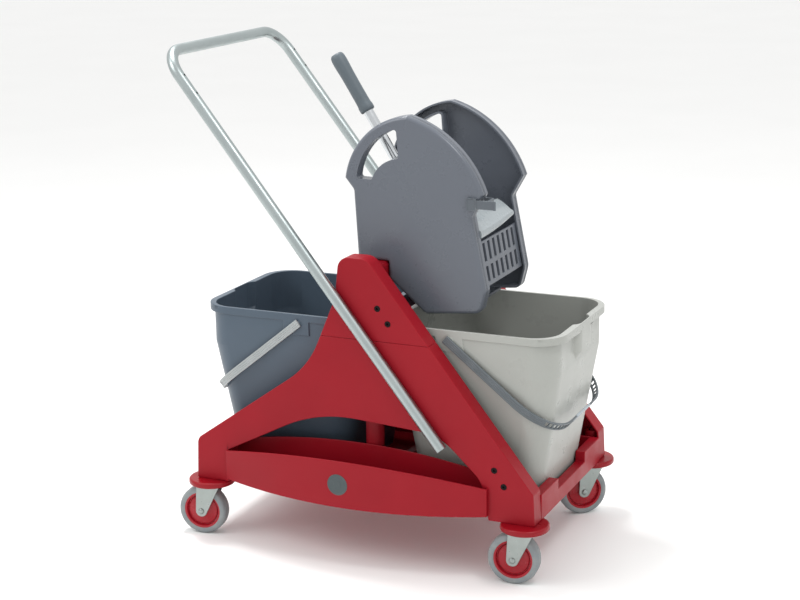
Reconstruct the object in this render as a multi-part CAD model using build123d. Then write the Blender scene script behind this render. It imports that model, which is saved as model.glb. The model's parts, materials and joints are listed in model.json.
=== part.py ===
from build123d import *
import math
import os

# A two-bucket mop trolley with a lever press wringer.
# X runs along the trolley (push handle at -X), Y across it, Z up; the floor is Z = 0.
# Everything above the casters is drawn with Z = 0 at the underside of the side panels
# and lifted by BASE_Z when it is written.

# ---- driving sizes, mm --------------------------------------------------------------
WHEEL_D = 100
WHEEL_W = 28
HEAD_H = 9             # fork crown and raceway above the wheel
DISC_D = 94            # bumper disc over each caster
DISC_T = 12
STEM_D = 11
STEM_L = 50            # how far a stem reaches up into the trolley
AXLE_D = 8
TRAIL = 20
HUB_D = 76             # seat of the tyre on the wheel centre
TYRE_ROUND = 5
TYRE_CLEAR = 2         # tyre to fork
FORK_T = 3
CROWN_T = 3.5
CASTER_IN = 25         # caster stems, in from the panels' ends
CASTER_SIDE = 15.4     # and in from their outer faces

WALL = 4               # moulded wall of panels, yoke and base
FLANGE = 38            # depth of a side panel's edge
SCREW_D = 6
SCREW_HEAD_D = 12
SCREW_SINK = 3.5       # depth of a screw head's seat in the skin
REAR_LEG = 71
FRONT_LEG = 92
ARCH_H = 170

BUCKET_L = 355
BUCKET_W = 330
BUCKET_H = 340
BUCKET_WALL = 3
LIP_X = 11             # rim flare at the ends
LIP_Y = 3              # and along the sides
LIP_H = 15
BAND_H = 79            # upright band under the rim
TAPER_X = 43
TAPER_Y = 30
SPOUT_W = 96
SPOUT_L = 62           # from the rim's end back into the bucket

BAIL_GAP = 11          # room beside a bucket for its bail
BAIL_T = 4
BAIL_W = 16
BAIL_SIDE = 1.8        # bail to bucket rim
EYE_D = 18             # pivot eyes and bosses
GRIP_D = 20
GRIP_W = 110
BAIL_IN = 8.8          # the hanging bail's end, in from the rim's end
BAIL_TURN = 100        # outer corner radius
BAIL_REST = 38.5       # degrees below level
PIVOT_IN = 39.5        # bail pivot, inboard of the bucket's middle
PIVOT_DOWN = 22        # bail pivot, below the rim
PIVOT_D = 8
PAD_W = 56             # thickened wall round a bail pivot
PAD_H = 42

POST_D = 36
POST_CLEAR = 6
DIVIDER_X = 9
OVERHANG = 17          # bucket rim past the end of the panels
FLOOR_H = 9
END_H = 51             # end boards of the base
BOARD_CLEAR = 1.1      # end board to bucket, at the board's top
NOTCH_W = 160
NOTCH_H = 21

TRAY_OUT = 48          # storage tray, out from the side panel
TRAY_WALL = 3
TRAY_H = 95

RIM_CLEAR = 14         # wringer above the bucket rim
WRINGER_DROP = 98      # wringer below the top of the beam
BEAM_H = 46
APEX_OVER = 24
SEAM_DOWN = 134

TUBE_D = 22
TUBE_WALL = 1.5
HANDLE_BEND = 55
HANDLE_TOP_X = -388
HANDLE_TOP_H = 857
HANDLE_END_X = 179
HANDLE_END_H = 132

PLATE_Y = 123          # outer faces of the wringer's side plates
PLATE_T = 28
PLATE_SKIN = 3
PLATE_WALL = 4
CROWN = 8              # rounding of a plate's outer edge
RIM_GROOVE = 1.2       # two fine grooves run round a plate's edge
BEAM_PLAY = 1.5        # wringer to beam
LEVER_LEAN = 122       # degrees, from +X
LEVER_L = 342
GRIP_L = 128
LEVER_D = 20
SHAFT_D = 14
LEVER_SWING = 65
CRANK_R = 45
CRANK_ANGLE = 250
CRANK_PIN_D = 8
SLOT_PLAY = 2.2        # lets the crank pin follow its arc in the press plate's slot
ROD_D = 10
PRESS_T = 6
PRESS_H = 200

RUN = 0.05             # radial running clearance
GAP_Y = 0.5            # side clearance between turning pieces

# ---- worked out ---------------------------------------------------------------------
BASE_Z = WHEEL_D + HEAD_H + DISC_T
INNER_W = BUCKET_W / 2 + BAIL_GAP
HALF_W = INNER_W + FLANGE
GAP = POST_D + 2 * POST_CLEAR
HALF_L = BUCKET_L + GAP / 2 - OVERHANG
RIM_H = FLOOR_H + BUCKET_H
BEAM_TOP = RIM_H + RIM_CLEAR + WRINGER_DROP
APEX_H = BEAM_TOP + APEX_OVER
SEAM_H = BEAM_TOP - SEAM_DOWN
CASTER_X = HALF_L - CASTER_IN
CASTER_Y = HALF_W - CASTER_SIDE
POST_Y = INNER_W - WALL - 1 - POST_D / 2
ARCH_X0 = -HALF_L + REAR_LEG
ARCH_X1 = HALF_L - FRONT_LEG
BUCKET_X = GAP / 2 + BUCKET_L / 2
BUCKET_LEAN = TAPER_X * (1 - (END_H - FLOOR_H) / (BUCKET_H - BAND_H))    # end wall, in from the band
BOARD_X = DIVIDER_X + BUCKET_X + BUCKET_L / 2 - LIP_X - BUCKET_LEAN + BOARD_CLEAR
BAIL_REACH = (BUCKET_L / 2 + PIVOT_IN - BAIL_IN) / math.cos(math.radians(BAIL_REST))
TUBE_Y = HALF_W + TUBE_D / 2
BEAM_X = DIVIDER_X + POST_D / 2      # the beam's front face

SWIVELS = {"rear_near": 8, "front_near": 6, "rear_far": 14, "front_far": 38}


def tyre_reach(turn):
    """How far behind its stem a tyre reaches, at that turn of the caster."""
    angle = math.radians(turn)
    flat = WHEEL_D / 2 - TYRE_ROUND + TRAIL
    return flat * math.cos(angle) + (WHEEL_W / 2 - TYRE_ROUND) * math.sin(angle) + TYRE_ROUND


REAR_TYRES = -CASTER_X - max(tyre_reach(SWIVELS["rear_near"]), tyre_reach(SWIVELS["rear_far"]))
REAR_X = min(HANDLE_TOP_X - TUBE_D / 2, REAR_TYRES)
FRONT_X = DIVIDER_X + GAP / 2 + BUCKET_L
ORIGIN_X = (REAR_X + FRONT_X) / 2    # the origin is under the middle of the whole trolley


def save(name, shape, lift=BASE_Z):
    """Write one piece, lifted to its height and set about the origin."""
    export_step(Pos(-ORIGIN_X, 0, lift) * shape, f"parts/{name}.step")


def far(shape):
    return mirror(shape, about=Plane.XZ)


def rounded(corners):
    """A closed outline from (x, y, radius) corners."""
    points = [(x, y) for x, y, radius in corners]
    return make_face(FilletPolyline(*points, radius=[radius for x, y, radius in corners], close=True))


def slab(face, inner, outer):
    """A near-side plate, drawn in side view, between two distances from the centre plane."""
    return extrude(Plane.XZ.offset(inner) * face, outer - inner)


def across(radius, x, z, y0, y1):
    """A round bar along Y."""
    return extrude(Plane.XZ.offset(-y1) * Pos(x, z) * Circle(radius), y1 - y0)


def block(x0, x1, y0, y1, z0, z1):
    return Pos((x0 + x1) / 2, (y0 + y1) / 2, (z0 + z1) / 2) * Box(x1 - x0, y1 - y0, z1 - z0)


# ---- side panels and yoke -----------------------------------------------------------
def side_outline():
    """Panel and yoke cheek together: a low tail, a steep neck and a straight front slope."""
    return rounded([
        (-HALF_L, 0, 3),
        (-HALF_L + 4, 84, 20),
        (DIVIDER_X - 112, SEAM_H - 65, 190),
        (DIVIDER_X - 51, SEAM_H + 77, 60),
        (DIVIDER_X - 42, APEX_H, 24),
        (DIVIDER_X + 17, APEX_H, 28),
        (HALF_L - 3, 62, 10),
        (HALF_L, 0, 3),
    ])


def arch_face():
    """The opening between the legs of a side panel."""
    return rounded([
        (ARCH_X0, -WALL, 0),
        (ARCH_X0, ARCH_H - 104, 14),
        (ARCH_X0 + 206, ARCH_H + 2, 300),
        (ARCH_X1 - 100, ARCH_H - 14, 110),
        (ARCH_X1 - 15, ARCH_H - 94, 60),
        (ARCH_X1, -WALL, 0),
    ])


def shell(face):
    """A moulded half-shell: a skin on the outside and a wall all the way round the edge."""
    body = slab(face, INNER_W, HALF_W)
    return body - slab(offset(face, -WALL), INNER_W, HALF_W - WALL)


def boss(x, h):
    return slab(Pos(x, h) * Circle(SCREW_HEAD_D / 2 + 3), INNER_W + 6, HALF_W - WALL)


def screw_holes(x, h):
    head = slab(Pos(x, h) * Circle(SCREW_HEAD_D / 2), HALF_W - SCREW_SINK, HALF_W)
    return head + slab(Pos(x, h) * Circle(SCREW_D / 2), INNER_W + 6, HALF_W)


def panel_screw(x, h):
    """A flush socket screw, its head let into the skin."""
    socket = RegularPolygon(0.47 * SCREW_D, 6)
    head = slab(Pos(x, h) * (Circle(SCREW_HEAD_D / 2) - socket), HALF_W - SCREW_SINK, HALF_W - 0.8)
    return head + slab(Pos(x, h) * Circle(SCREW_D / 2), INNER_W + 8, HALF_W - SCREW_SINK)


def handle_at(h):
    """The x of the push handle's leg at a height."""
    run = (HANDLE_END_X - HANDLE_TOP_X) / (HANDLE_TOP_H - HANDLE_END_H)
    return HANDLE_TOP_X + run * (HANDLE_TOP_H - h)


YOKE_SCREWS = [(DIVIDER_X + 37, APEX_H - 94), (DIVIDER_X + 58, APEX_H - 122)]
PANEL_SCREWS = [(HALF_L - 81, 101), (HALF_L - 62, 71)]
BOLT_HEIGHTS = {"upper": SEAM_H + 40, "lower": ARCH_H + 36}


def bolt_hole(h):
    return slab(Pos(handle_at(h), h) * Circle(SCREW_D / 2), HALF_W - WALL, HALF_W)


def side_panel():
    face = side_outline() & (Pos(0, SEAM_H / 2) * Rectangle(4 * HALF_L, SEAM_H))
    body = shell(face - arch_face())
    for x in (-CASTER_X, CASTER_X):
        sleeve = Pos(x, -CASTER_Y, STEM_L / 2 + 5)
        body += sleeve * Cylinder(15, STEM_L + 10)
        body -= sleeve * Cylinder(STEM_D / 2 + RUN, STEM_L + 10)
    for x, h in PANEL_SCREWS:
        body = body + boss(x, h) - screw_holes(x, h)
    return body - bolt_hole(BOLT_HEIGHTS["lower"])


def yoke():
    """Both cheeks and the rounded beam that joins them and carries the wringer."""
    face = side_outline() & (Pos(0, SEAM_H + APEX_H / 2) * Rectangle(4 * HALF_L, APEX_H))
    cheek = shell(face)
    for x, h in YOKE_SCREWS:
        cheek = cheek + boss(x, h) - screw_holes(x, h)
    cheek -= bolt_hole(BOLT_HEIGHTS["upper"])
    section = Pos(DIVIDER_X, BEAM_TOP - BEAM_H / 2) * RectangleRounded(POST_D, BEAM_H, 9)
    reach = HALF_W - WALL
    beam = extrude(Plane.XZ.offset(-reach) * section, 2 * reach)
    return cheek + far(cheek) + beam


def post():
    h = BEAM_TOP - BEAM_H - FLOOR_H
    return Pos(DIVIDER_X, -POST_Y, FLOOR_H + h / 2) * (Cylinder(POST_D / 2, h) - Cylinder(POST_D / 2 - 3, h))


# ---- base and storage trays ---------------------------------------------------------
def base_tray():
    """The floor that carries both buckets, with a hollow end board at each end."""
    side = INNER_W - WALL
    body = block(-HALF_L, HALF_L, -INNER_W, INNER_W, 0, END_H)
    body -= block(-BOARD_X, BOARD_X, -side, side, FLOOR_H, END_H)
    body -= block(-BOARD_X + WALL, BOARD_X - WALL, -side, side, 0, FLOOR_H - WALL)
    for end in (-1, 1):
        notch_x = sorted((end * (BOARD_X - 1), end * HALF_L))
        body -= block(*notch_x, -NOTCH_W / 2, NOTCH_W / 2, END_H - NOTCH_H, END_H)
        pocket = sorted((end * (BOARD_X + WALL), end * (HALF_L - WALL)))
        body -= block(*pocket, -side, side, 0, END_H - NOTCH_H - WALL)
        for y in (-1, 1):
            tall = sorted((y * (NOTCH_W / 2 + WALL), y * side))
            body -= block(*pocket, *tall, 0, END_H - WALL)
    rib = POST_Y - POST_D / 2 - 1
    return body + block(DIVIDER_X - 8, DIVIDER_X + 8, -rib, rib, FLOOR_H, FLOOR_H + 20)


def storage_tray():
    """A bow-fronted open bin hung between the legs of a side panel."""
    x0 = ARCH_X0 + 1
    x1 = ARCH_X1 - 1
    middle = (x0 + x1) / 2
    side = HALF_W + 8
    bow = HALF_W + TRAY_OUT

    def plan(inset):
        left = (x0 + inset, -side + inset)
        back = Polyline((x1 - inset, -side + inset), (x1 - inset, -INNER_W - inset),
                        (x0 + inset, -INNER_W - inset), left)
        front = ThreePointArc(left, (middle, -bow + inset), (x1 - inset, -side + inset))
        return extrude(make_face(back + front), 2 * TRAY_H)

    def profile(low, high, reach):
        bottom = ThreePointArc((x0, low + 8), (middle, low), (x1, low + 9))
        top = ThreePointArc((x1, high - 31), (middle, high), (x0, high - 27))
        edges = bottom + Line((x1, low + 9), (x1, high - 31)) + top + Line((x0, high - 27), (x0, low + 8))
        return slab(make_face(edges), INNER_W, reach)

    outer = plan(0) & profile(0.5, TRAY_H, bow + 5)
    inner = plan(TRAY_WALL) & profile(0.5 + TRAY_WALL, 2 * TRAY_H - 5, bow + 5)
    back = profile(0.5, TRAY_H + 12, INNER_W + TRAY_WALL)
    legs = slab(side_outline() - offset(arch_face(), -1), INNER_W - 1, HALF_W)
    return outer - inner + back - legs


# ---- push handle --------------------------------------------------------------------
def push_handle():
    top = (HANDLE_TOP_X, HANDLE_TOP_H)
    end = (HANDLE_END_X, HANDLE_END_H)
    path = FilletPolyline((end[0], -TUBE_Y, end[1]), (top[0], -TUBE_Y, top[1]),
                          (top[0], TUBE_Y, top[1]), (end[0], TUBE_Y, end[1]), radius=HANDLE_BEND)
    ring = Circle(TUBE_D / 2) - Circle(TUBE_D / 2 - TUBE_WALL)
    tube = sweep(Plane(path @ 0, z_dir=path % 0) * ring, path)
    lean = math.degrees(math.atan2(end[1] - top[1], end[0] - top[0]))
    for y in (-TUBE_Y, TUBE_Y):
        for h in (HANDLE_TOP_H - 47, HANDLE_TOP_H - 80):
            out = Pos(handle_at(h), y, h) * Rot(0, -lean, 0) * Pos(0, 0, TUBE_D / 2)
            tube -= out * Cylinder(2.5, TUBE_D / 2)
        for h in BOLT_HEIGHTS.values():
            inward = math.copysign(TUBE_D / 2, y)
            tube -= across(SCREW_D / 2, handle_at(h), h, y - inward - 3, y - inward + 3)
    return tube


def handle_bolt(h):
    """A pan-head bolt from inside the panel into the handle's wall."""
    x = handle_at(h)
    head = slab(Pos(x, h) * Circle(SCREW_HEAD_D / 2), HALF_W - WALL - 4, HALF_W - WALL)
    return head + slab(Pos(x, h) * Circle(SCREW_D / 2), HALF_W - WALL, HALF_W + TUBE_WALL + 4)


# ---- casters ------------------------------------------------------------------------
def bumper_disc(x, y):
    disc = fillet(Cylinder(DISC_D / 2, DISC_T).edges().filter_by(GeomType.CIRCLE), 4)
    return Pos(x, y, -DISC_T / 2) * (disc - Cylinder(STEM_D / 2 + RUN, DISC_T))


def fork():
    """Crown, raceway, stem and two tapered legs, with the stem on Z."""
    crown_z = WHEEL_D + TYRE_CLEAR
    race_z = crown_z + CROWN_T
    top = WHEEL_D + HEAD_H - GAP_Y
    inner = WHEEL_W / 2 + TYRE_CLEAR
    outer = inner + FORK_T
    hub_spot = Pos(-TRAIL, WHEEL_D / 2)
    outline = Pos(-5, crown_z + CROWN_T / 2) * Rectangle(48, CROWN_T) + hub_spot * Circle(AXLE_D / 2 + 8)
    leg = slab(make_hull(outline.edges()), inner, outer) - slab(hub_spot * Circle(AXLE_D / 2), inner, outer)
    body = leg + far(leg) + block(-29, 19, -outer, outer, crown_z, race_z)
    body += Pos(0, 0, (race_z + top) / 2) * Cylinder(20, top - race_z)
    stem = DISC_T + GAP_Y + STEM_L
    return body + Pos(0, 0, top + stem / 2) * Cylinder(STEM_D / 2, stem)


def axle():
    reach = WHEEL_W / 2 + TYRE_CLEAR + FORK_T
    bolt = across(AXLE_D / 2, -TRAIL, WHEEL_D / 2, -reach, reach)
    head = slab(Pos(-TRAIL, WHEEL_D / 2) * RegularPolygon(7, 6), reach, reach + 5)
    return bolt + head + far(head)


def hub():
    """A dished wheel centre with a plain rim and a long boss."""
    centre = Pos(-TRAIL, WHEEL_D / 2)
    rim_half = WHEEL_W / 2 - 1
    rim = slab(centre * (Circle(HUB_D / 2) - Circle(HUB_D / 2 - 5)), -rim_half, rim_half)
    web = slab(centre * Circle(HUB_D / 2 - 4), -4, 4)
    boss_half = WHEEL_W / 2 + TYRE_CLEAR - GAP_Y
    body = rim + web + slab(centre * Circle(AXLE_D / 2 + 7), -boss_half, boss_half)
    return body - slab(centre * Circle(AXLE_D / 2 + RUN), -boss_half, boss_half)


def tyre():
    ring = slab(Pos(-TRAIL, WHEEL_D / 2) * Circle(WHEEL_D / 2), -WHEEL_W / 2, WHEEL_W / 2)
    ring = fillet(ring.edges().filter_by(GeomType.CIRCLE), TYRE_ROUND)
    return ring - slab(Pos(-TRAIL, WHEEL_D / 2) * Circle(HUB_D / 2), -WHEEL_W, WHEEL_W)


# ---- buckets ------------------------------------------------------------------------
def bucket_form(inset):
    """The bucket's outer form, or its inside when inset by the wall."""
    long = BUCKET_L - 2 * (LIP_X + inset)
    wide = BUCKET_W - 2 * (LIP_Y + inset)
    knee = BUCKET_H - BAND_H
    foot = RectangleRounded(long - 2 * TAPER_X, wide - 2 * TAPER_Y, 42 - inset)
    band = RectangleRounded(long, wide, 54 - inset)
    form = loft(Sketch() + [Pos(0, 0, inset) * foot, Pos(0, 0, knee) * band])
    form += extrude(Pos(0, 0, knee) * band, BAND_H)
    spout_l = SPOUT_L - 2 * inset
    spout = Pos((BUCKET_L - SPOUT_L) / 2, 0) * RectangleRounded(spout_l, SPOUT_W - 2 * inset, 26 - inset)
    shallow_l = spout_l - 24
    shallow = Pos(BUCKET_L / 2 - 47, 0) * RectangleRounded(shallow_l, SPOUT_W - 30 - 2 * inset, 16 - inset)
    form += loft(Sketch() + [Pos(0, 0, knee - 25 + inset) * shallow, Pos(0, 0, knee + 24 + inset) * spout])
    form += extrude(Pos(0, 0, knee + 24 + inset) * spout, BAND_H - 24 - inset)
    return form


def bucket():
    """Open bucket, spout towards +X, with a turned-down rim and two pivot bosses."""
    rim = RectangleRounded(BUCKET_L, BUCKET_W, 60)
    under = RectangleRounded(BUCKET_L - 6, BUCKET_W - 6, 57)
    foot = Pos(0, 0, BUCKET_H - LIP_H)
    lip = extrude(foot * rim, LIP_H) - extrude(foot * under, LIP_H - BUCKET_WALL)
    body = bucket_form(0) + lip
    z = BUCKET_H - PIVOT_DOWN
    wall_y = BUCKET_W / 2 - LIP_Y - BUCKET_WALL
    for side in (-1, 1):
        pad_y = sorted((side * wall_y, side * BUCKET_W / 2))
        boss_y = sorted((side * wall_y, side * (BUCKET_W / 2 + 1)))
        pin_y = sorted((side * wall_y, side * (BUCKET_W / 2 + BAIL_SIDE + BAIL_T - 1)))
        pad_x = (-PIVOT_IN - PAD_W / 2, -PIVOT_IN + PAD_W / 2)
        body += block(*pad_x, *pad_y, BUCKET_H - PAD_H, BUCKET_H - LIP_H)
        body += across(EYE_D / 2, -PIVOT_IN, z, *boss_y)
        body += across(PIVOT_D / 2, -PIVOT_IN, z, *pin_y)
    return body - bucket_form(BUCKET_WALL)


def in_bail_plane(shape):
    """Turn a shape drawn flat (reach along X) down to the hanging bail's place on a bucket."""
    return Pos(-PIVOT_IN, 0, BUCKET_H - PIVOT_DOWN) * Rot(0, BAIL_REST, 0) * shape


def bail():
    """A flat strap bent to a U, with an eye at each end."""
    outer = BUCKET_W / 2 + BAIL_SIDE + BAIL_T

    def loop(inset, start):
        reach = BAIL_REACH + BAIL_T / 2 - inset
        half = outer - inset
        turn = BAIL_TURN - inset
        path = FilletPolyline((start, -half), (reach, -half), (reach, half), (start, half), radius=turn)
        return make_face(path + Line((start, half), (start, -half)))

    strap = extrude(Pos(0, 0, -BAIL_W / 2) * (loop(0, 0) - loop(BAIL_T, -1)), BAIL_W)
    for side in (-1, 1):
        eye_y = sorted((side * (outer - BAIL_T), side * outer))
        strap += across(EYE_D / 2, 0, 0, *eye_y)
        strap -= across(PIVOT_D / 2 + RUN, 0, 0, *eye_y)
    return in_bail_plane(strap)


def bail_grip():
    """The moulded hand grip round the middle of the strap."""
    sleeve = Pos(BAIL_REACH, 0, 0) * Rot(90, 0, 0) * Cylinder(GRIP_D / 2, GRIP_W)
    return in_bail_plane(sleeve - Pos(BAIL_REACH, 0, 0) * Box(BAIL_T, GRIP_W, BAIL_W))


# ---- wringer, drawn from the beam's front top edge -----------------------------------
PIVOT = (21, 86.5)                   # lever shaft
HINGE = (70, -64)                    # press plate rod
INSIDE = PLATE_Y - PLATE_T


def crank_at(turn):
    """Where the crank pin is when the lever has turned so far."""
    angle = math.radians(CRANK_ANGLE + turn)
    return PIVOT[0] + CRANK_R * math.cos(angle), PIVOT[1] + CRANK_R * math.sin(angle)


CRANK = crank_at(0)


def plate_outline():
    """A domed shield with two ears and a step that sits on the beam."""
    ear, crest, front_ear = (-88, 157), (44, 282), (197, 141)
    dome = ThreePointArc(ear, (-40, 246), crest) + ThreePointArc(crest, (124, 242), front_ear)
    below = [
        (173, 99, 12),
        (201, -44, 30),
        (190, -87, 16),
        (77, -WRINGER_DROP, 14),
        (BEAM_PLAY, -34, 9),
        (BEAM_PLAY, 0, 3),
        (-63, 0, 9),
        (-70, 135, 12),
    ]
    points = [front_ear] + [(x, z) for x, z, radius in below] + [ear]
    return make_face(dome + FilletPolyline(*points, radius=[radius for x, z, radius in below]))


def hand_hole():
    """A bowed grip hole that follows the dome outside and the lever's hub inside."""
    outer = ThreePointArc((-62, 158), (-34, 222), (22, 256))
    inner = ThreePointArc((26, 200), (-10, 186), (-30, 157))
    hole = make_face(outer + Line((22, 256), (26, 200)) + inner + Line((-30, 157), (-62, 158)))
    return fillet(hole.vertices(), 5)


def wringer_plate():
    """A deep dished shell, open towards the mop, with a crowned outer edge and a grooved rim."""
    outline = plate_outline()
    face = outline - hand_hole()
    skin = slab(outline, INSIDE, PLATE_Y)
    outer_edges = skin.edges().filter_by_position(Axis.Y, -PLATE_Y - 0.1, -PLATE_Y + 0.1)
    skin = fillet(outer_edges, CROWN) - slab(hand_hole(), INSIDE, PLATE_Y)
    for inner in (PLATE_Y - CROWN - 4, PLATE_Y - CROWN - 8):
        rim = outline - offset(outline, -RIM_GROOVE)
        skin -= slab(rim, inner, inner + RIM_GROOVE)
    body = skin - slab(offset(face, -PLATE_WALL), INSIDE, PLATE_Y - PLATE_SKIN)
    for radius, (x, z) in ((SHAFT_D / 2, PIVOT), (ROD_D / 2, HINGE)):
        body += slab(Pos(x, z) * Circle(radius + 6), INSIDE, PLATE_Y - PLATE_SKIN)
        body -= slab(Pos(x, z) * Circle(radius), INSIDE - 1, PLATE_Y - PLATE_SKIN)
    return body


def grille():
    """The fixed front wall, with two rows of upright slots."""
    low, high = (197, -42), (182, 44)
    reach = PLATE_Y - PLATE_SKIN
    length = math.dist(low, high)
    lean = math.degrees(math.atan2(low[0] - high[0], high[1] - low[1]))
    sheet = Box(5, 2 * reach, length)
    for row, slot in ((length * 0.24, 36), (-length * 0.24, 30)):
        for n in range(7):
            sheet -= Pos(0, (n - 3) * 25, row) * Box(6, 11, slot)
    return Pos((low[0] + high[0]) / 2 - 6, 0, (low[1] + high[1]) / 2) * Rot(0, -lean, 0) * sheet


def floor_pan():
    """Beam hook, rear wall, slope and drained floor, one moulded sheet that stops behind the grille."""
    path = Polyline((5, 12), (5, -36), (78, -97), (150, -91))
    pan = extrude(Plane.XZ.offset(-INSIDE) * trace(path, 5), 2 * INSIDE)
    lip = -POST_D - 0.5
    hook = Pos((lip + 3) / 2, 1.5) * Rectangle(9 - lip, 3) + Pos(lip - 1.5, -9.5) * Rectangle(3, 25)
    pan += extrude(Plane.XZ.offset(-60) * hook, 120)
    for x in range(90, 146, 18):
        for n in range(9):
            pan -= Pos(x, (n - 4) * 19, -92) * Cylinder(4, 30)
    return pan


def guide_plate():
    path = Polyline((150, 96), (166, 101), (177, 90), (182, 66), (180, 50))
    return extrude(Plane.XZ.offset(-INSIDE) * trace(path, 3), 2 * INSIDE)


def mop_clip():
    """A C-shaped clip pushed onto the near plate's front ear."""
    body = block(166, 210, -PLATE_Y - 4, -INSIDE + 4, 110, 138)
    return body - block(160, 199, -PLATE_Y, -INSIDE, 100, 150)


def along_lever(s0, s1, radius, bore=0):
    """A round piece on the lever's line, between two distances from the shaft."""
    bar = Pos((s0 + s1) / 2, 0, 0) * Rot(0, 90, 0) * Cylinder(radius, s1 - s0)
    if bore:
        bar -= Pos((s0 + s1) / 2, 0, 0) * Rot(0, 90, 0) * Cylinder(bore, s1 - s0)
    return Pos(PIVOT[0], 0, PIVOT[1]) * Rot(0, -LEVER_LEAN, 0) * bar


def lever_socket():
    """Hub on the shaft, socket for the lever tube and the crank that drives the link."""
    hull = Pos(*PIVOT) * Circle(16) + Pos(*CRANK) * Circle(9)
    body = slab(make_hull(hull.edges()), -8, 8) + across(16, *PIVOT, -24, 24)
    body += along_lever(0, 108, LEVER_D / 2 + 4)
    body -= along_lever(30, 109, LEVER_D / 2)
    body -= across(SHAFT_D / 2 + RUN, *PIVOT, -30, 30)
    return body - across(CRANK_PIN_D / 2, *CRANK, -30, 30)


def crank_pin():
    return across(CRANK_PIN_D / 2, *CRANK, -20, 20)


def lever_tube():
    return along_lever(30, LEVER_L - 8, LEVER_D / 2, LEVER_D / 2 - 1.5)


def lever_grip():
    sleeve = along_lever(LEVER_L - GRIP_L, LEVER_L - 8, 15, LEVER_D / 2)
    return sleeve + along_lever(LEVER_L - 8, LEVER_L, 15)


def lever_shaft():
    reach = PLATE_Y - PLATE_SKIN
    return across(SHAFT_D / 2, *PIVOT, -reach, reach)


def press_rod():
    reach = PLATE_Y - PLATE_SKIN
    return across(ROD_D / 2, *HINGE, -reach, reach)


def press_plate():
    """The moving plate, hinged low down, with drain slots and a lug behind."""
    x = HINGE[0]
    half = INSIDE - 3
    body = block(x - PRESS_T / 2, x + PRESS_T / 2, -half, half, HINGE[1], HINGE[1] + PRESS_H)
    body += across(ROD_D / 2 + 5, *HINGE, -half, half)
    for z in range(int(HINGE[1]) + 30, int(HINGE[1] + PRESS_H) - 20, 44):
        for n in (-3, -2, -1, 1, 2, 3):
            body -= block(x - 9, x + 9, n * 28 - 6, n * 28 + 6, z, z + 30)
    reaches = [math.dist(crank_at(LEVER_SWING * share), HINGE) for share in (0, 0.5, 1)]
    middle = (min(reaches) + max(reaches)) / 2
    lean = math.atan2(CRANK[1] - HINGE[1], CRANK[0] - HINGE[0])
    spot = Pos(HINGE[0] + middle * math.cos(lean), HINGE[1] + middle * math.sin(lean))
    wide = CRANK_PIN_D + 2 * SLOT_PLAY
    long = max(reaches) - min(reaches) + wide + 1
    turned = spot * Rot(0, 0, math.degrees(lean))
    slot = turned * SlotOverall(long, wide)
    root = Pos(x, spot.position.Y - 5) * Rectangle(PRESS_T, 40)
    lug = make_hull((turned * SlotOverall(long + 10, wide + 10) + root).edges()) - slot
    lug = slab(lug, 11, 16)
    body = body + lug + far(lug)
    return body - across(ROD_D / 2 + RUN, *HINGE, -half, half)


# ---- write everything ---------------------------------------------------------------
def write_frame():
    save("base_tray", base_tray())
    save("yoke", yoke())
    save("push_handle", push_handle())
    for side, turn in (("near", lambda s: s), ("far", far)):
        save(f"side_panel_{side}", turn(side_panel()))
        save(f"divider_post_{side}", turn(post()))
        save(f"storage_tray_{side}", turn(storage_tray()))
        for n, (x, h) in enumerate(YOKE_SCREWS + PANEL_SCREWS, 1):
            save(f"panel_screw_{side}_{n}", turn(panel_screw(x, h)))
        for name, h in BOLT_HEIGHTS.items():
            save(f"handle_bolt_{side}_{name}", turn(handle_bolt(h)))


def write_casters():
    for name, angle in SWIVELS.items():
        x = CASTER_X if name.startswith("front") else -CASTER_X
        y = -CASTER_Y if name.endswith("near") else CASTER_Y
        save(f"bumper_disc_{name}", bumper_disc(x, y))
        spot = Pos(x, y, 0) * Rot(0, 0, angle)
        for piece, make in (("fork", fork), ("axle", axle), ("wheel_hub", hub), ("tyre", tyre)):
            save(f"{piece}_{name}", spot * make(), lift=0)


def write_buckets():
    for name, spot in (("right", Pos(DIVIDER_X + BUCKET_X, 0, FLOOR_H)),
                       ("left", Pos(DIVIDER_X - BUCKET_X, 0, FLOOR_H) * Rot(0, 0, 180))):
        save(f"bucket_{name}", spot * bucket())
        save(f"bail_{name}", spot * bail())
        save(f"bail_grip_{name}", spot * bail_grip())


def write_wringer():
    spot = Pos(BEAM_X, 0, BEAM_TOP)
    plate = wringer_plate()
    save("wringer_plate_near", spot * plate)
    save("wringer_plate_far", spot * far(plate))
    for name, make in (("wringer_grille", grille), ("wringer_floor_pan", floor_pan),
                       ("guide_plate", guide_plate), ("mop_clip", mop_clip), ("lever_socket", lever_socket),
                       ("lever_tube", lever_tube), ("lever_grip", lever_grip), ("lever_shaft", lever_shaft),
                       ("press_rod", press_rod), ("crank_pin", crank_pin), ("press_plate", press_plate)):
        save(name, spot * make())


os.makedirs("parts", exist_ok=True)
write_frame()
write_casters()
write_buckets()
write_wringer()
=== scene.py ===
import json
import math

import bmesh
import bpy
from mathutils import Matrix, Vector

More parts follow.
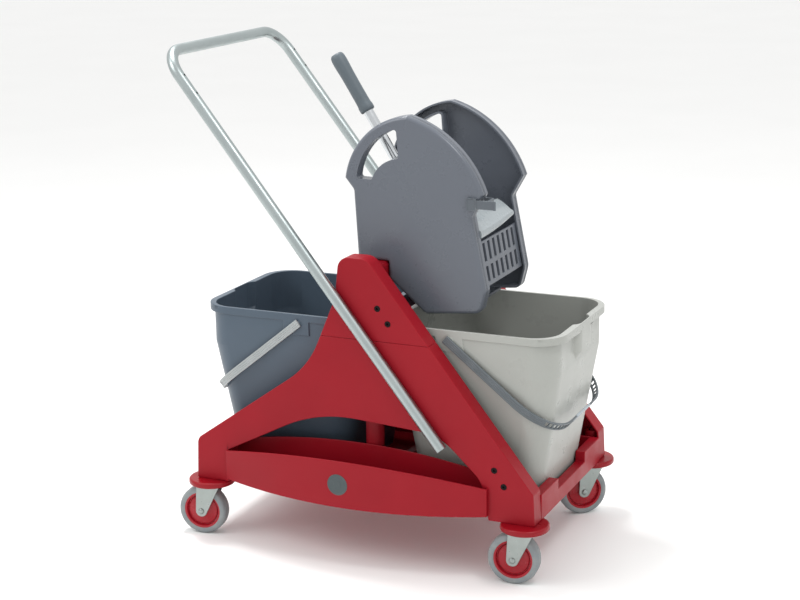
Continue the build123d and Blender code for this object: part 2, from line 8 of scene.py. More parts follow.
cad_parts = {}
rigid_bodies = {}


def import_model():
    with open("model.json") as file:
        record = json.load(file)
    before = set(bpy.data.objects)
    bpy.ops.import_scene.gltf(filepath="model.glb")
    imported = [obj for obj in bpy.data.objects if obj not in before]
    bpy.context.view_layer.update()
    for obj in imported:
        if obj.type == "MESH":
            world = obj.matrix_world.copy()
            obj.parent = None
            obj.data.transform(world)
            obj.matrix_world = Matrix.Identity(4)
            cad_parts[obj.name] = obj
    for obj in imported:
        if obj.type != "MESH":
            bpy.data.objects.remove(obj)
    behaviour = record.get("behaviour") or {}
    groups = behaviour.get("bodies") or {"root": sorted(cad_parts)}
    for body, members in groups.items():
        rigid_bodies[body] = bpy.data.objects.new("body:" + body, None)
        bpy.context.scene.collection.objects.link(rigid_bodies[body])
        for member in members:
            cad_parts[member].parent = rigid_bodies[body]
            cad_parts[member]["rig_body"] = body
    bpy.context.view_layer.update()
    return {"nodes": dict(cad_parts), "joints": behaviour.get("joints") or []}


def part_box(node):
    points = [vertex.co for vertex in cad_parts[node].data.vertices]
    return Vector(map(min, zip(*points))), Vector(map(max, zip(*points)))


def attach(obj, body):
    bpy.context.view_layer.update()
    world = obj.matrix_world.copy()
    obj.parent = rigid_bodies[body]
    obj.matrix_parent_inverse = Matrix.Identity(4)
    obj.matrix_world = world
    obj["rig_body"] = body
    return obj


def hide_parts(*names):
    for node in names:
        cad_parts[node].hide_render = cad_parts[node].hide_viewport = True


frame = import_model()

# ---- camera -------------------------------------------------------------------------
# A long lens a little above the buckets' rims, to the right of square-on, so that the near
# side, the front end and the inside of both buckets show.
LOOK_AT = Vector((0.0294, 0.0, 0.4841))
STAND_OFF = 3.451
AZIMUTH, ELEVATION, TILT = (math.radians(turn) for turn in (24.1, 14.5, -0.8))
LENS = 77.8
SHIFT_X, SHIFT_Y = -0.013, -0.0057

level = Vector((math.cos(AZIMUTH), math.sin(AZIMUTH), 0))
towards = Vector((math.sin(AZIMUTH), -math.cos(AZIMUTH), 0))
back = towards * math.cos(ELEVATION) + Vector((0, 0, math.sin(ELEVATION)))
across = level * math.cos(TILT) + back.cross(level) * math.sin(TILT)
camera = bpy.data.objects.new("camera", bpy.data.cameras.new("camera"))
bpy.context.collection.objects.link(camera)
camera.data.lens = LENS
camera.data.shift_x = SHIFT_X
camera.data.shift_y = SHIFT_Y
turned = Matrix((across, back.cross(across), back)).transposed()
camera.matrix_world = Matrix.Translation(LOOK_AT + back * STAND_OFF) @ turned.to_4x4()
bpy.context.scene.camera = camera


# ---- side panels, yoke and base -----------------------------------------------------
# Large polypropylene mouldings in one deep red: two hollow side panels, the yoke that caps
# them and carries the wringer, and the base between. Screwed together; every edge is
# radiused by the mould, and corners that get knocked have gone slightly pale.
MOULD_EDGE = 0.0016


def linear(code):
    """A hex colour as the linear values that a shader takes."""
    parts = [int(code[n:n + 2], 16) / 255 for n in (1, 3, 5)]
    return [c / 12.92 if c <= 0.04045 else ((c + 0.055) / 1.055) ** 2.4 for c in parts] + [1.0]


def per(size):
    """The scale of a pattern whose features are this many millimetres apart."""
    return 1000 / size


def add(tree, kind, values, links=None):
    """Add a node: values set its sockets or settings, links feed its sockets."""
    made = tree.nodes.new(kind)
    for name, value in values.items():
        if name in made.inputs:
            made.inputs[name].default_value = value
        else:
            setattr(made, name, value)
    sockets = {socket.identifier: socket for socket in made.inputs}
    for name, source in (links or {}).items():
        tree.links.new(source, sockets[name])
    return made


def started(name):
    """A new material with its node tree, shader and object coordinates."""
    material = bpy.data.materials.new(name)
    material.use_nodes = True
    tree = material.node_tree
    where = add(tree, "ShaderNodeTexCoord", {}).outputs["Object"]
    return material, tree, tree.nodes["Principled BSDF"], where


def rubbed_edges(tree, where, radius):
    """How much a spot has been rubbed: 1 on knocked edges, in patches, and 0 on the flats."""
    eased = add(tree, "ShaderNodeBevel", {"samples": 4, "Radius": radius}).outputs["Normal"]
    facing = add(tree, "ShaderNodeNewGeometry", {}).outputs["Normal"]
    bend = add(tree, "ShaderNodeVectorMath", {"operation": "DOT_PRODUCT"},
               {"Vector": eased, "Vector_001": facing})
    edge = add(tree, "ShaderNodeMapRange", {"From Min": 0.985, "From Max": 0.86},
               {"Value": bend.outputs["Value"]})
    patch = add(tree, "ShaderNodeTexNoise", {"Scale": per(28), "Detail": 4.0}, {"Vector": where})
    worn = add(tree, "ShaderNodeMapRange", {"From Min": 0.42, "From Max": 0.68},
               {"Value": patch.outputs["Fac"]})
    return add(tree, "ShaderNodeMath", {"operation": "MULTIPLY"},
               {"Value": edge.outputs["Result"], "Value_001": worn.outputs["Result"]}).outputs["Value"]


def moulded(name, colour, deep, worn, roughness, grain=0.9, texture=0.05, wear=0.0014, shine=0.34):
    """An injection moulding: colour a little uneven from the melt's flow, a fine etched texture,
    slow sink marks that bend its reflections, handling marks and paler rubbed edges."""
    material, tree, shader, where = started(name)
    flow = add(tree, "ShaderNodeTexNoise", {"Scale": per(120), "Detail": 5.0, "Distortion": 0.6},
               {"Vector": where})
    body = add(tree, "ShaderNodeMixRGB", {"Color1": linear(colour), "Color2": linear(deep)},
               {"Fac": flow.outputs["Fac"]})
    rubbed = rubbed_edges(tree, where, wear)
    skin = add(tree, "ShaderNodeMixRGB", {"Color2": linear(worn)},
               {"Fac": rubbed, "Color1": body.outputs["Color"]})
    tree.links.new(skin.outputs["Color"], shader.inputs["Base Color"])

    handled = add(tree, "ShaderNodeTexNoise", {"Scale": per(45), "Detail": 6.0, "Roughness": 0.65},
                  {"Vector": where})
    gloss = add(tree, "ShaderNodeMapRange", {"From Min": 0.3, "From Max": 0.7,
                "To Min": roughness - 0.06, "To Max": roughness + 0.09}, {"Value": handled.outputs["Fac"]})
    tree.links.new(gloss.outputs["Result"], shader.inputs["Roughness"])

    etched = add(tree, "ShaderNodeTexNoise", {"Scale": per(grain), "Detail": 2.0}, {"Vector": where})
    fine = add(tree, "ShaderNodeBump", {"Strength": texture, "Distance": 0.0002},
               {"Height": etched.outputs["Fac"]})
    sunk = add(tree, "ShaderNodeTexNoise", {"Scale": per(70), "Detail": 1.0}, {"Vector": where})
    wavy = add(tree, "ShaderNodeBump", {"Strength": 0.05, "Distance": 0.002},
               {"Height": sunk.outputs["Fac"], "Normal": fine.outputs["Normal"]})
    tree.links.new(wavy.outputs["Normal"], shader.inputs["Normal"])
    shader.inputs["IOR"].default_value = 1.49
    shader.inputs["Specular IOR Level"].default_value = shine
    return material


def copy_of(node):
    """A CAD piece's mesh as one skin: corners merged and flat triangles joined."""
    bm = bmesh.new()
    bm.from_mesh(frame["nodes"][node].data)
    bmesh.ops.remove_doubles(bm, verts=bm.verts, dist=2e-6)
    bmesh.ops.dissolve_limit(bm, angle_limit=math.radians(0.3), verts=bm.verts, edges=bm.edges)
    return bm


def piece(bm, name, body, finish, stands_for=(), edge=0.0, crease=30):
    """Make an object of a mesh, round its sharp edges, and set it on its body."""
    mesh = bpy.data.meshes.new(name)
    bm.to_mesh(mesh)
    bm.free()
    mesh.materials.append(finish)
    mesh.shade_smooth()
    made = bpy.data.objects.new(name, mesh)
    bpy.context.collection.objects.link(made)
    if edge:
        rounding = made.modifiers.new("rounding", "BEVEL")
        rounding.width = edge
        rounding.segments = 3
        rounding.limit_method = "ANGLE"
        rounding.angle_limit = math.radians(crease)
        rounding.use_clamp_overlap = False
        rounding.loop_slide = False
        flats = made.modifiers.new("flats", "WEIGHTED_NORMAL")
        flats.weight = 90
    else:
        mesh.set_sharp_from_angle(angle=math.radians(crease))
    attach(made, body)
    if stands_for:
        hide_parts(*stands_for)


def dress(node, finish, edge=MOULD_EDGE, crease=30):
    """A CAD piece with its edges rounded and its real material."""
    body = frame["nodes"][node]["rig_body"]
    piece(copy_of(node), f"{node}_moulding", body, finish, (node,), edge, crease)


# Polypropylene comes out of the mould satin, with broad soft highlights.
frame_red = moulded("polypropylene_red", "#930F1E", "#850B19", "#B6525A", 0.40, shine=0.2)
for side in ("near", "far"):
    dress(f"side_panel_{side}", frame_red)
    dress(f"divider_post_{side}", frame_red, 0.0008)
dress("yoke", frame_red)
dress("base_tray", frame_red, 0.0012)


# ---- storage trays ------------------------------------------------------------------
# A bow-fronted bin for bottles and cloths hangs between the legs on each side, moulded in
# the same red. A plain dark roundel with a ring moulded in it sits on the middle of each front.
BADGE_R = 0.021
BADGE_PROUD = 0.0007
BADGE_RIM = 0.0025
BADGE_RING = 0.0100
BADGE_STEP = 0.0006
BADGE_DIP = 0.0005
BADGE_BACK = 0.012
BADGE_UP = 0.047

# ABS left matt, so that the roundel reads as a flat dark mark.
badge_grey = moulded("abs_roundel_grey", "#4A5355", "#3F484A", "#7B8486", 0.42, 0.6)
for side, out in (("near", -1), ("far", 1)):
    dress(f"storage_tray_{side}", frame_red, 0.0011)
    low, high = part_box(f"storage_tray_{side}")
    front = low.y if out < 0 else high.y
    bm = bmesh.new()
    bmesh.ops.create_cone(bm, cap_ends=True, segments=64, radius1=BADGE_R, radius2=BADGE_R,
                          depth=2 * BADGE_PROUD)
    top = [face for face in bm.faces if face.normal.z > 0.9]
    bmesh.ops.inset_region(bm, faces=top, thickness=BADGE_RIM)
    bmesh.ops.inset_region(bm, faces=top, thickness=BADGE_STEP, depth=-BADGE_DIP)
    bmesh.ops.inset_region(bm, faces=top, thickness=BADGE_RING)
    bmesh.ops.inset_region(bm, faces=top, thickness=BADGE_STEP, depth=BADGE_DIP)
    facing = Matrix.Rotation(math.radians(-90 * out), 4, "X")
    spot = Vector(((low.x + high.x) / 2 - BADGE_BACK, front, low.z + BADGE_UP))
    bm.transform(Matrix.Translation(spot) @ facing)
    piece(bm, f"roundel_{side}", "frame", badge_grey, edge=0.0002)


# ---- bumper discs -------------------------------------------------------------------
# A round moulded plate over each caster keeps the trolley off walls and skirting. Same red,
# more rubbed than the panels.
# Rubbing has polished these, so they shine more than the panels.
disc_red = moulded("polypropylene_red_rubbed", "#8E0817", "#800614", "#B85A60", 0.30, wear=0.003, shine=0.26)
CASTERS = ("rear_near", "front_near", "rear_far", "front_far")
for caster in CASTERS:
    dress(f"bumper_disc_{caster}", disc_red, 0)


# ---- screws and bolts ---------------------------------------------------------------
# Black oxide socket screws sit below the face of the panels. The zinc plated bolts of the
# push handle come from inside.
def metal(name, colour, tint, roughness, spot):
    """Bare or plated metal: its colour drifts between two tints and its polish is uneven."""
    material, tree, shader, where = started(name)
    drift = add(tree, "ShaderNodeTexNoise", {"Scale": per(spot), "Detail": 5.0}, {"Vector": where})
    blend = add(tree, "ShaderNodeMixRGB", {"Color1": linear(colour), "Color2": linear(tint)},
                {"Fac": drift.outputs["Fac"]})
    tree.links.new(blend.outputs["Color"], shader.inputs["Base Color"])
    wiped = add(tree, "ShaderNodeTexNoise", {"Scale": per(spot / 3), "Detail": 6.0}, {"Vector": where})
    polish = add(tree, "ShaderNodeMapRange", {"From Min": 0.3, "From Max": 0.7,
                 "To Min": roughness - 0.05, "To Max": roughness + 0.1}, {"Value": wiped.outputs["Fac"]})
    tree.links.new(polish.outputs["Result"], shader.inputs["Roughness"])
    pits = add(tree, "ShaderNodeTexNoise", {"Scale": per(0.8), "Detail": 3.0}, {"Vector": where})
    rough = add(tree, "ShaderNodeBump", {"Strength": 0.12, "Distance": 0.0001},
                {"Height": pits.outputs["Fac"]})
    tree.links.new(rough.outputs["Normal"], shader.inputs["Normal"])
    shader.inputs["Metallic"].default_value = 1.0
    return material


# Black oxide is dark with a dull sheen; zinc plate is pale, greyish and softly mirrored.
oxide_black = metal("black_oxide_steel", "#2A2627", "#1D1B1C", 0.42, 6)
zinc = metal("zinc_plated_steel", "#9DA4A2", "#8F9692", 0.32, 18)
for side in ("near", "far"):
    for number in (1, 2, 3, 4):
        dress(f"panel_screw_{side}_{number}", oxide_black, 0.0003)
    for height in ("upper", "lower"):
        dress(f"handle_bolt_{side}_{height}", zinc, 0.0004)


# ---- push handle --------------------------------------------------------------------
# One 22 mm aluminium tube bent to a long U, clear anodised to a soft satin, with its ends
# sawn square. It is held by the four bolts.
# Anodising spreads the highlight along the tube without a clear reflection.
anodised = metal("anodised_aluminium", "#AAB2B2", "#9DA6A6", 0.36, 60)
dress("push_handle", anodised, 0, 35)


# ---- casters ------------------------------------------------------------------------
# Swivel casters: a pressed and zinc plated fork, a riveted axle, a dished red polypropylene
# wheel centre and a grey non-marking rubber tyre moulded on to it.
WHEEL_R = 0.050
TYRE_HALF = 0.014
SEAT_R = 0.038
AXLE_R = 0.004
FORK_OUT = 0.019


def joint_named(name):
    """The joint with that name."""
    return next(joint for joint in frame["joints"] if joint["name"] == name)


def turned_on_y(bm, outline, steps, closed):
    """Turn an outline of (radius, distance along the axle) about the Y axis."""
    corners = [bm.verts.new((radius, y, 0)) for radius, y in outline]
    pairs = zip(corners, corners[1:] + corners[:1]) if closed else zip(corners, corners[1:])
    edges = [bm.edges.new(pair) for pair in pairs]
    bmesh.ops.spin(bm, geom=corners + edges, axis=(0, 1, 0), cent=(0, 0, 0), angle=math.tau, steps=steps,
                   use_merge=True)
    bmesh.ops.remove_doubles(bm, verts=bm.verts, dist=1e-6)
    bmesh.ops.recalc_face_normals(bm, faces=bm.faces)


def both_ways(half):
    """An outline and its mirror image on the wheel's other side."""
    return half + [(radius, -y) for radius, y in reversed(half)]


def rubber(name, colour, dust):
    """Soft grey rubber: matt, with dust pressed into it and fine mould texture."""
    material, tree, shader, where = started(name)
    cloud = add(tree, "ShaderNodeTexNoise", {"Scale": per(22), "Detail": 6.0, "Roughness": 0.6},
                {"Vector": where})
    dirt = add(tree, "ShaderNodeMapRange", {"From Min": 0.4, "From Max": 0.75},
               {"Value": cloud.outputs["Fac"]})
    blend = add(tree, "ShaderNodeMixRGB", {"Color1": linear(colour), "Color2": linear(dust)},
                {"Fac": dirt.outputs["Result"]})
    tree.links.new(blend.outputs["Color"], shader.inputs["Base Color"])
    skin = add(tree, "ShaderNodeTexNoise", {"Scale": per(0.7), "Detail": 3.0}, {"Vector": where})
    bump = add(tree, "ShaderNodeBump", {"Strength": 0.3, "Distance": 0.0002}, {"Height": skin.outputs["Fac"]})
    tree.links.new(bump.outputs["Normal"], shader.inputs["Normal"])
    worn = add(tree, "ShaderNodeMapRange", {"To Min": 0.5, "To Max": 0.75}, {"Value": cloud.outputs["Fac"]})
    tree.links.new(worn.outputs["Result"], shader.inputs["Roughness"])
    return material


# Rubber takes hardly any highlight; the polished red centre inside it takes a sharp one.
grey_rubber = rubber("non_marking_rubber", "#7A8083", "#8C908F")
hub_red = moulded("polypropylene_hub_red", "#A41826", "#8C1420", "#C05A60", 0.24, 0.6, 0.05)
TREAD = both_ways([(SEAT_R, 0.0134), (0.0392, 0.0139), (0.0440, TYRE_HALF), (0.0472, 0.0131),
                   (0.0491, 0.0110), (WHEEL_R, 0.0075)])
DISH = both_ways([(AXLE_R + 0.0001, 0.0155), (0.0098, 0.0155), (0.0105, 0.0148), (0.0105, 0.0098),
                  (0.0120, 0.0086), (0.0290, 0.0086), (0.0303, 0.0080), (0.0315, 0.0058), (0.0328, 0.0058),
                  (0.0338, 0.0115), (0.0346, 0.0125), (SEAT_R, 0.0130)])
RIVET = [(0, FORK_OUT + 0.0034), (0.0028, FORK_OUT + 0.0031), (0.0050, FORK_OUT + 0.0021),
         (0.0062, FORK_OUT + 0.0006), (0.0062, FORK_OUT), (AXLE_R, FORK_OUT)]
for caster in CASTERS:
    dress(f"fork_{caster}", zinc, 0.0011)
    low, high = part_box(f"tyre_{caster}")
    axle_line = Vector(joint_named(f"roll_{caster}")["axis"])
    swivel = Vector((0, 1, 0)).rotation_difference(axle_line).to_matrix().to_4x4()
    seat = Matrix.Translation((low + high) / 2) @ swivel
    for part, outline, finish, body, closed in (
            ("tyre", TREAD, grey_rubber, "wheel", True), ("wheel_hub", DISH, hub_red, "wheel", True),
            ("axle", both_ways(RIVET), zinc, "caster", False)):
        bm = bmesh.new()
        turned_on_y(bm, outline, 72, closed)
        bm.transform(seat)
        node = f"{part}_{caster}"
        piece(bm, f"{node}_turned", f"{body}_{caster}", finish, (node,), crease=40)


# ---- buckets ------------------------------------------------------------------------
# Two 25 litre buckets, injection moulded in polypropylene: the rear one blue grey for dirty
# water, the front one warm light grey. Thin walls with a bead round the rim, a pouring spout
# and a thickened pad where the bail pivots.
# Thin moulded walls are smoother than the frame and show longer highlights.
blue_grey = moulded("polypropylene_blue_grey", "#4D5A67", "#46535F", "#76808A", 0.33, texture=0.02)
warm_grey = moulded("polypropylene_warm_grey", "#A2A49F", "#9A9C97", "#BEBFBA", 0.30, texture=0.02)
for side, finish in (("left", blue_grey), ("right", warm_grey)):
    dress(f"bucket_{side}", finish, 0.0012, 35)


# ---- bails --------------------------------------------------------------------------
# A flat polypropylene strap bent to a U, grooved along its outside. Round the front it opens
# into a ladder of cross ribs, with a smooth hand pad in the middle. It pivots on the bucket's pins.
STRAP_HALF_W = 0.008
STRAP_T = 0.004
STRAP_OUT = 0.1708
STRAP_EDGE = 0.0006
GROOVES = (-0.0038, 0.0, 0.0038)
GROOVE_MOUTH = 0.0007
GROOVE_FLOOR = 0.0003
GROOVE_DEEP = 0.0007
CORNER_R = 0.100
EYE_PAST = 0.009
RAIL_IN = 0.0048
RUNG_HALF = 0.0055
RUNG_FRONT = 0.0008
RUNG_BACK = 0.0006
RUNG_TURN = math.radians(1.6)
PAD_HALF = 0.040
PAD_OVER = 0.0012                  # pad thicker than the strap
PAD_EDGE = 0.0018
STILL = (0, 0, 0)
QUARTER = math.radians(90)
LADDER = math.radians(48)          # the part of each corner that is open
RIB_GAP = math.radians(6.4)


def carried(bm, section, moves):
    """Carry a closed section through straight moves and turns, and close both its ends."""
    corners = [bm.verts.new(point) for point in section]
    edges = [bm.edges.new(pair) for pair in zip(corners, corners[1:] + corners[:1])]
    bm.faces.new(corners)
    geometry = corners + edges
    for centre, angle, slide, steps in moves:
        made = bmesh.ops.spin(bm, geom=geometry, cent=centre, axis=(0, 0, 1), dvec=slide, angle=angle,
                              steps=steps)
        geometry = made["geom_last"]
    bmesh.ops.contextual_create(bm, geom=[item for item in geometry if isinstance(item, bmesh.types.BMEdge)])


def strap_section(start):
    """The strap's end outline, with three grooves along its outer face."""
    eased = -STRAP_OUT + STRAP_EDGE
    sunk = -STRAP_OUT + GROOVE_DEEP
    inside = -STRAP_OUT + STRAP_T
    outer = [(start, eased, -STRAP_HALF_W), (start, -STRAP_OUT, -STRAP_HALF_W + STRAP_EDGE)]
    for groove in GROOVES:
        outer += [(start, -STRAP_OUT, groove - GROOVE_MOUTH), (start, sunk, groove - GROOVE_FLOOR),
                  (start, sunk, groove + GROOVE_FLOOR), (start, -STRAP_OUT, groove + GROOVE_MOUTH)]
    outer += [(start, -STRAP_OUT, STRAP_HALF_W - STRAP_EDGE), (start, eased, STRAP_HALF_W)]
    return outer + [(start, inside, STRAP_HALF_W), (start, inside, -STRAP_HALF_W)]


def bar_section(start, low, high, outer, inner):
    """The end outline of a plain bar within the strap's thickness."""
    return [(start, -STRAP_OUT + outer, low), (start, -STRAP_OUT + outer, high),
            (start, -STRAP_OUT + inner, high), (start, -STRAP_OUT + inner, low)]


# The straps are satin; the front bail's pad is smoother and paler.
bail_light = moulded("polypropylene_light_grey", "#A3A9A9", "#979D9E", "#C0C4C4", 0.38)
bail_dark = moulded("polypropylene_dark_grey", "#636A6E", "#585F63", "#8E9497", 0.34)
pad_grey = moulded("smooth_grip_grey", "#A9B2B8", "#9CA6AD", "#C4CACE", 0.26, 0.6, 0.04)
for side, strap_finish, pad_finish in (("left", bail_light, bail_light), ("right", bail_dark, pad_grey)):
    low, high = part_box(f"bail_grip_{side}")
    pivot = Vector(joint_named(f"bail_{side}_swing")["pos_m"])
    hang = (low + high) / 2 - pivot
    reach = hang.length + STRAP_T / 2
    along, above = hang.normalized(), Vector((-hang.z, 0, hang.x)).normalized()
    if above.z < 0:
        above.negate()
    place = Matrix.Translation(pivot) @ Matrix((along, above.cross(along), above)).transposed().to_4x4()
    turn = Vector((reach - CORNER_R, -STRAP_OUT + CORNER_R, 0))
    straight = Vector((turn.x + EYE_PAST, 0, 0))
    cross = Vector((0, STRAP_OUT - CORNER_R - PAD_HALF, 0))

    bm = bmesh.new()
    carried(bm, strap_section(-EYE_PAST), [(turn, 0, straight, 1), (turn, QUARTER - LADDER, STILL, 10)])
    rotated = Matrix.Rotation(QUARTER - LADDER, 4, "Z")
    to_turn = Matrix.Translation(turn) @ rotated @ Matrix.Translation(-turn)
    for low_z, high_z in ((-STRAP_HALF_W, -RAIL_IN), (RAIL_IN, STRAP_HALF_W)):
        rail = [to_turn @ Vector(p) for p in bar_section(turn.x, low_z, high_z, 0, STRAP_T)]
        carried(bm, rail, [(turn, LADDER, STILL, 12), (turn, 0, cross, 1)])
    for rung in range(int(LADDER / RIB_GAP) + 1):
        angle = QUARTER - LADDER + rung * RIB_GAP
        swing = Matrix.Translation(turn) @ Matrix.Rotation(angle, 4, "Z") @ Matrix.Translation(-turn)
        rung_end = bar_section(turn.x, -RUNG_HALF, RUNG_HALF, RUNG_FRONT, STRAP_T - RUNG_BACK)
        carried(bm, [swing @ Vector(p) for p in rung_end], [(turn, RUNG_TURN, STILL, 1)])
    bmesh.ops.mirror(bm, geom=bm.verts[:] + bm.edges[:] + bm.faces[:], axis="Y", merge_dist=-1)
    bmesh.ops.recalc_face_normals(bm, faces=bm.faces)
    bm.transform(place)
    piece(bm, f"bail_{side}_strap", f"bail_{side}", strap_finish, (f"bail_{side}",),
          edge=0.0003)

    bm = bmesh.new()
    bmesh.ops.create_cube(bm, size=1)
    bmesh.ops.scale(bm, vec=(STRAP_T + PAD_OVER, 2 * PAD_HALF, 2 * STRAP_HALF_W + 0.001), verts=bm.verts)
    bmesh.ops.bevel(bm, geom=bm.edges[:], offset=PAD_EDGE, segments=4, profile=0.5, affect="EDGES",
                    material=-1)
    ends = [face for face in bm.faces if abs(face.normal.x) > 0.99]
    bmesh.ops.inset_individual(bm, faces=ends, thickness=0.0014, depth=-0.0004)
    bmesh.ops.translate(bm, vec=(reach - STRAP_T / 2, 0, 0), verts=bm.verts)
    bm.transform(place)
    piece(bm, f"bail_{side}_pad", f"bail_{side}", pad_finish,
          (f"bail_grip_{side}",), edge=0.0003)


# ---- wringer body -------------------------------------------------------------------
# The lift-off press: two deep dished side plates in glossy mid grey with a soft crowned edge,
# joined by the slotted front grille and the sloping drain pan. The slotted press plate swings
# between them on its rod.
# ABS from a polished mould is glossy and even, with no grain; the pan is plainer and darker.
plate_grey = moulded("abs_mid_grey", "#5D626A", "#595E67", "#868A90", 0.29, 0.7, 0.0, shine=0.5)
pan_grey = moulded("abs_dark_grey", "#4E535A", "#454A51", "#7C8086", 0.36)
for side in ("near", "far"):
    dress(f"wringer_plate_{side}", plate_grey, 0.0008)
dress("wringer_grille", plate_grey, 0.0010)
dress("wringer_floor_pan", pan_grey, 0.0006)
dress("press_plate", plate_grey, 0.0008)


# ---- guide plate --------------------------------------------------------------------
# A pale acetal scoop with a rolled lip that guides the mop head down between the plates. It is
# moulded in one, narrows towards the far side, and has a notch for the thumb.
# Acetal is smooth and waxy, so its highlights are small and clear.
acetal = moulded("acetal_white", "#989FA2", "#8F9699", "#BFC4C6", 0.24, 0.6, 0.04)
SCOOP = [(0, 0.0500), (0.0100, 0.0415), (0.0200, 0.0305), (0.0275, 0.0205), (0.0330, 0.0165),
         (0.0350, 0.0100), (0.0335, 0.0035), (0.0290, 0.0030), (0.0300, 0.0085), (0.0290, 0.0120),
         (0.0245, 0.0165), (0.0175, 0.0270), (0.0075, 0.0375), (0, 0.0440)]
SCOOP_STEPS = 24
SCOOP_REACH = 0.9                  # of the way to the far plate
SCOOP_NARROW = 0.35
SCOOP_RISE = 0.014
NOTCH = (0.16, 0.34)
NOTCH_DEEP = 0.006
NOTCH_ABOVE = 0.036
low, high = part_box("guide_plate")
width = SCOOP_REACH * (high.y - low.y)
bm = bmesh.new()
scoop_end = [(low.x + x, low.y, low.z + z) for x, z in SCOOP]
carried(bm, scoop_end, [(low, 0, (0, width / SCOOP_STEPS, 0), SCOOP_STEPS)])
for vert in bm.verts:
    share = (vert.co.y - low.y) / width
    rise = vert.co.z - low.z
    dip = NOTCH_DEEP if NOTCH[0] < share < NOTCH[1] and rise > NOTCH_ABOVE else 0
    vert.co.z = low.z + rise * (1 - SCOOP_NARROW * share ** 2) + SCOOP_RISE * share ** 2 - dip
bmesh.ops.recalc_face_normals(bm, faces=bm.faces)
guide_body = frame["nodes"]["guide_plate"]["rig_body"]
piece(bm, "guide_scoop", guide_body, acetal, ("guide_plate",), edge=0.0006, crease=25)


# ---- mop clip -----------------------------------------------------------------------
# A nylon strip bent round the near plate's front ear, with a square pad on the plate's face
# and a tongue that stands off. It is pushed on and holds the mop's tail.
CLIP_T = 0.004
CLIP_R = 0.008
CLIP_HALF = 0.0082
CLIP_IN = 0.004                    # the strip starts under its pad
CLIP_TAIL = 0.012
TONGUE_T = 0.003
TONGUE_HALF = 0.0085
TONGUE_BACK = 0.010
TONGUE_L = 0.014
TONGUE_BEND = math.radians(-38)
CLIP_PAD = (0.019, 0.0056, 0.024)
CLIP_PAD_AT = (0.0095, 0.0013)
PAD_RIM = 0.0022
PAD_STEP = 0.0006
PAD_DIP = 0.0010

# Nylon is a little duller than the plates, and darker.
dark_grey = moulded("nylon_dark_grey", "#5C6268", "#52585E", "#868B90", 0.36)
low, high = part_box("mop_clip")
middle = (low.z + high.z) / 2
bm = bmesh.new()


def clip_bar(x, near, thick, half):
    """The end outline of a strip that stands upright on the clip's line."""
    return [(x, near, middle - half), (x, near, middle + half),
            (x, near + thick, middle + half), (x, near + thick, middle - half)]


outer_turn = Vector((high.x - CLIP_R, low.y + CLIP_R, 0))
across_plate = Vector((0, high.y - low.y - 2 * CLIP_R, 0))
inner_turn = outer_turn + across_plate
carried(bm, clip_bar(low.x + CLIP_IN, low.y, CLIP_T, CLIP_HALF),
        [(outer_turn, 0, (outer_turn.x - low.x - CLIP_IN, 0, 0), 1), (outer_turn, QUARTER, STILL, 8),
         (outer_turn, 0, across_plate, 1), (inner_turn, QUARTER, STILL, 8),
         (inner_turn, 0, (-CLIP_TAIL, 0, 0), 1)])
bent = Vector((high.x + TONGUE_L - TONGUE_BACK, low.y - TONGUE_L, 0))
carried(bm, clip_bar(high.x - TONGUE_BACK, low.y + 0.0005, TONGUE_T, TONGUE_HALF),
        [(bent, 0, (TONGUE_L, 0, 0), 1), (bent, TONGUE_BEND, STILL, 8)])
pad = bmesh.ops.create_cube(bm, size=1)["verts"]
bmesh.ops.scale(bm, vec=CLIP_PAD, verts=pad)
bmesh.ops.translate(bm, vec=(low.x + CLIP_PAD_AT[0], low.y + CLIP_PAD_AT[1], middle), verts=pad)
face = [face for face in bm.faces if face.normal.y < -0.99 and all(vert in pad for vert in face.verts)]
bmesh.ops.inset_region(bm, faces=face, thickness=PAD_RIM)
bmesh.ops.inset_region(bm, faces=face, thickness=PAD_STEP, depth=-PAD_DIP)
bmesh.ops.recalc_face_normals(bm, faces=bm.faces)
clip_body = frame["nodes"]["mop_clip"]["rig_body"]
piece(bm, "mop_clip_bent", clip_body, dark_grey, ("mop_clip",), edge=0.0005)


# ---- lever --------------------------------------------------------------------------
# The press lever: a chromed tube in a moulded socket on its shaft, with a soft vinyl grip
# pushed over the end. Pulling it down swings the press plate through the crank pin.
# Chrome mirrors the room; soft vinyl is matt with a fine leathery skin.
chrome = metal("chromed_steel", "#C9CCCE", "#BCC0C3", 0.16, 40)
vinyl = moulded("vinyl_grip_grey", "#5D666C", "#525B61", "#838A8E", 0.44, 0.8, 0.16)
GRIP = [(0, 0.0), (0.0098, 0.0), (0.0118, -0.0012), (0.0136, -0.0044), (0.0146, -0.0100), (0.0149, -0.0180),
        (0.0145, -0.0300), (0.0139, -0.0460), (0.0137, -0.0640), (0.0137, -0.1020), (0.0140, -0.1130),
        (0.0149, -0.1160), (0.0150, -0.1230), (0.0143, -0.1270), (0.0128, -0.1280), (0.0101, -0.1280)]
dress("lever_socket", dark_grey, 0.0012)
dress("lever_tube", chrome, 0, 35)
dress("lever_shaft", zinc, 0.0006)
dress("press_rod", zinc, 0.0006)
dress("crank_pin", zinc, 0.0005)

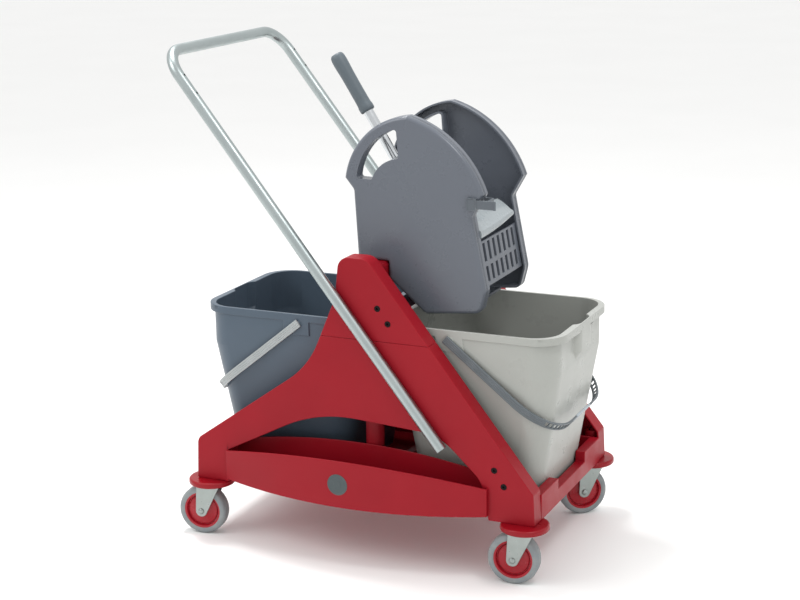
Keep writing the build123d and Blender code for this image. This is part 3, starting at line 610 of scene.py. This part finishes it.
low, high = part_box("lever_grip")
shaft = Vector(joint_named("lever_pull")["pos_m"])
direction = ((low + high) / 2 - shaft).normalized()
LEVER_L = 0.342
bm = bmesh.new()
turned_on_y(bm, GRIP, 64, False)
bm.transform(Matrix.Translation(shaft + direction * LEVER_L)
             @ Vector((0, 1, 0)).rotation_difference(direction).to_matrix().to_4x4())
piece(bm, "lever_grip_sleeve", "lever", vinyl, ("lever_grip",), crease=50)


# ---- floor and light ----------------------------------------------------------------
# A plain pale floor under soft studio light from above, with a gentle lift from the front and
# a small lamp for the wringer's crowned edge. The floor is matt paper.
FLOOR_SIZE = 14

bm = bmesh.new()
bmesh.ops.create_grid(bm, x_segments=1, y_segments=1, size=FLOOR_SIZE)
ground = bpy.data.meshes.new("floor")
bm.to_mesh(ground)
bm.free()
paper, tree, shader, where = started("pale_floor")
mottle = add(tree, "ShaderNodeTexNoise", {"Scale": per(600), "Detail": 3.0}, {"Vector": where})
tone = add(tree, "ShaderNodeMixRGB", {"Color1": linear("#F6F6F5"), "Color2": linear("#F2F2F1")},
           {"Fac": mottle.outputs["Fac"]})
tree.links.new(tone.outputs["Color"], shader.inputs["Base Color"])
shader.inputs["Roughness"].default_value = 0.7
ground.materials.append(paper)
floor = bpy.data.objects.new("floor", ground)
bpy.context.collection.objects.link(floor)

world = bpy.data.worlds.new("studio")
bpy.context.scene.world = world
world.use_nodes = True
sky = world.node_tree.nodes["Background"]
sky.inputs["Color"].default_value = linear("#FFFFFF")
sky.inputs["Strength"].default_value = 1.0
LIGHTS = (("key", (-1.9, -1.9, 2.6), 1.6, 27), ("fill", (2.6, -1.6, 1.5), 1.8, 4),
          ("top", (-0.8, 0.3, 2.9), 0.7, 48), ("crest", (1.3, -0.5, 2.6), 0.5, 14))
for name, spot, size, power in LIGHTS:
    lamp = bpy.data.objects.new(name, bpy.data.lights.new(name, "AREA"))
    lamp.data.size = size
    lamp.data.energy = power
    aimed = (LOOK_AT - Vector(spot)).to_track_quat("-Z", "Y")
    lamp.matrix_world = Matrix.Translation(spot) @ aimed.to_matrix().to_4x4()
    bpy.context.collection.objects.link(lamp)
bpy.context.scene.view_settings.view_transform = "Standard"

bpy.context.view_layer.update()
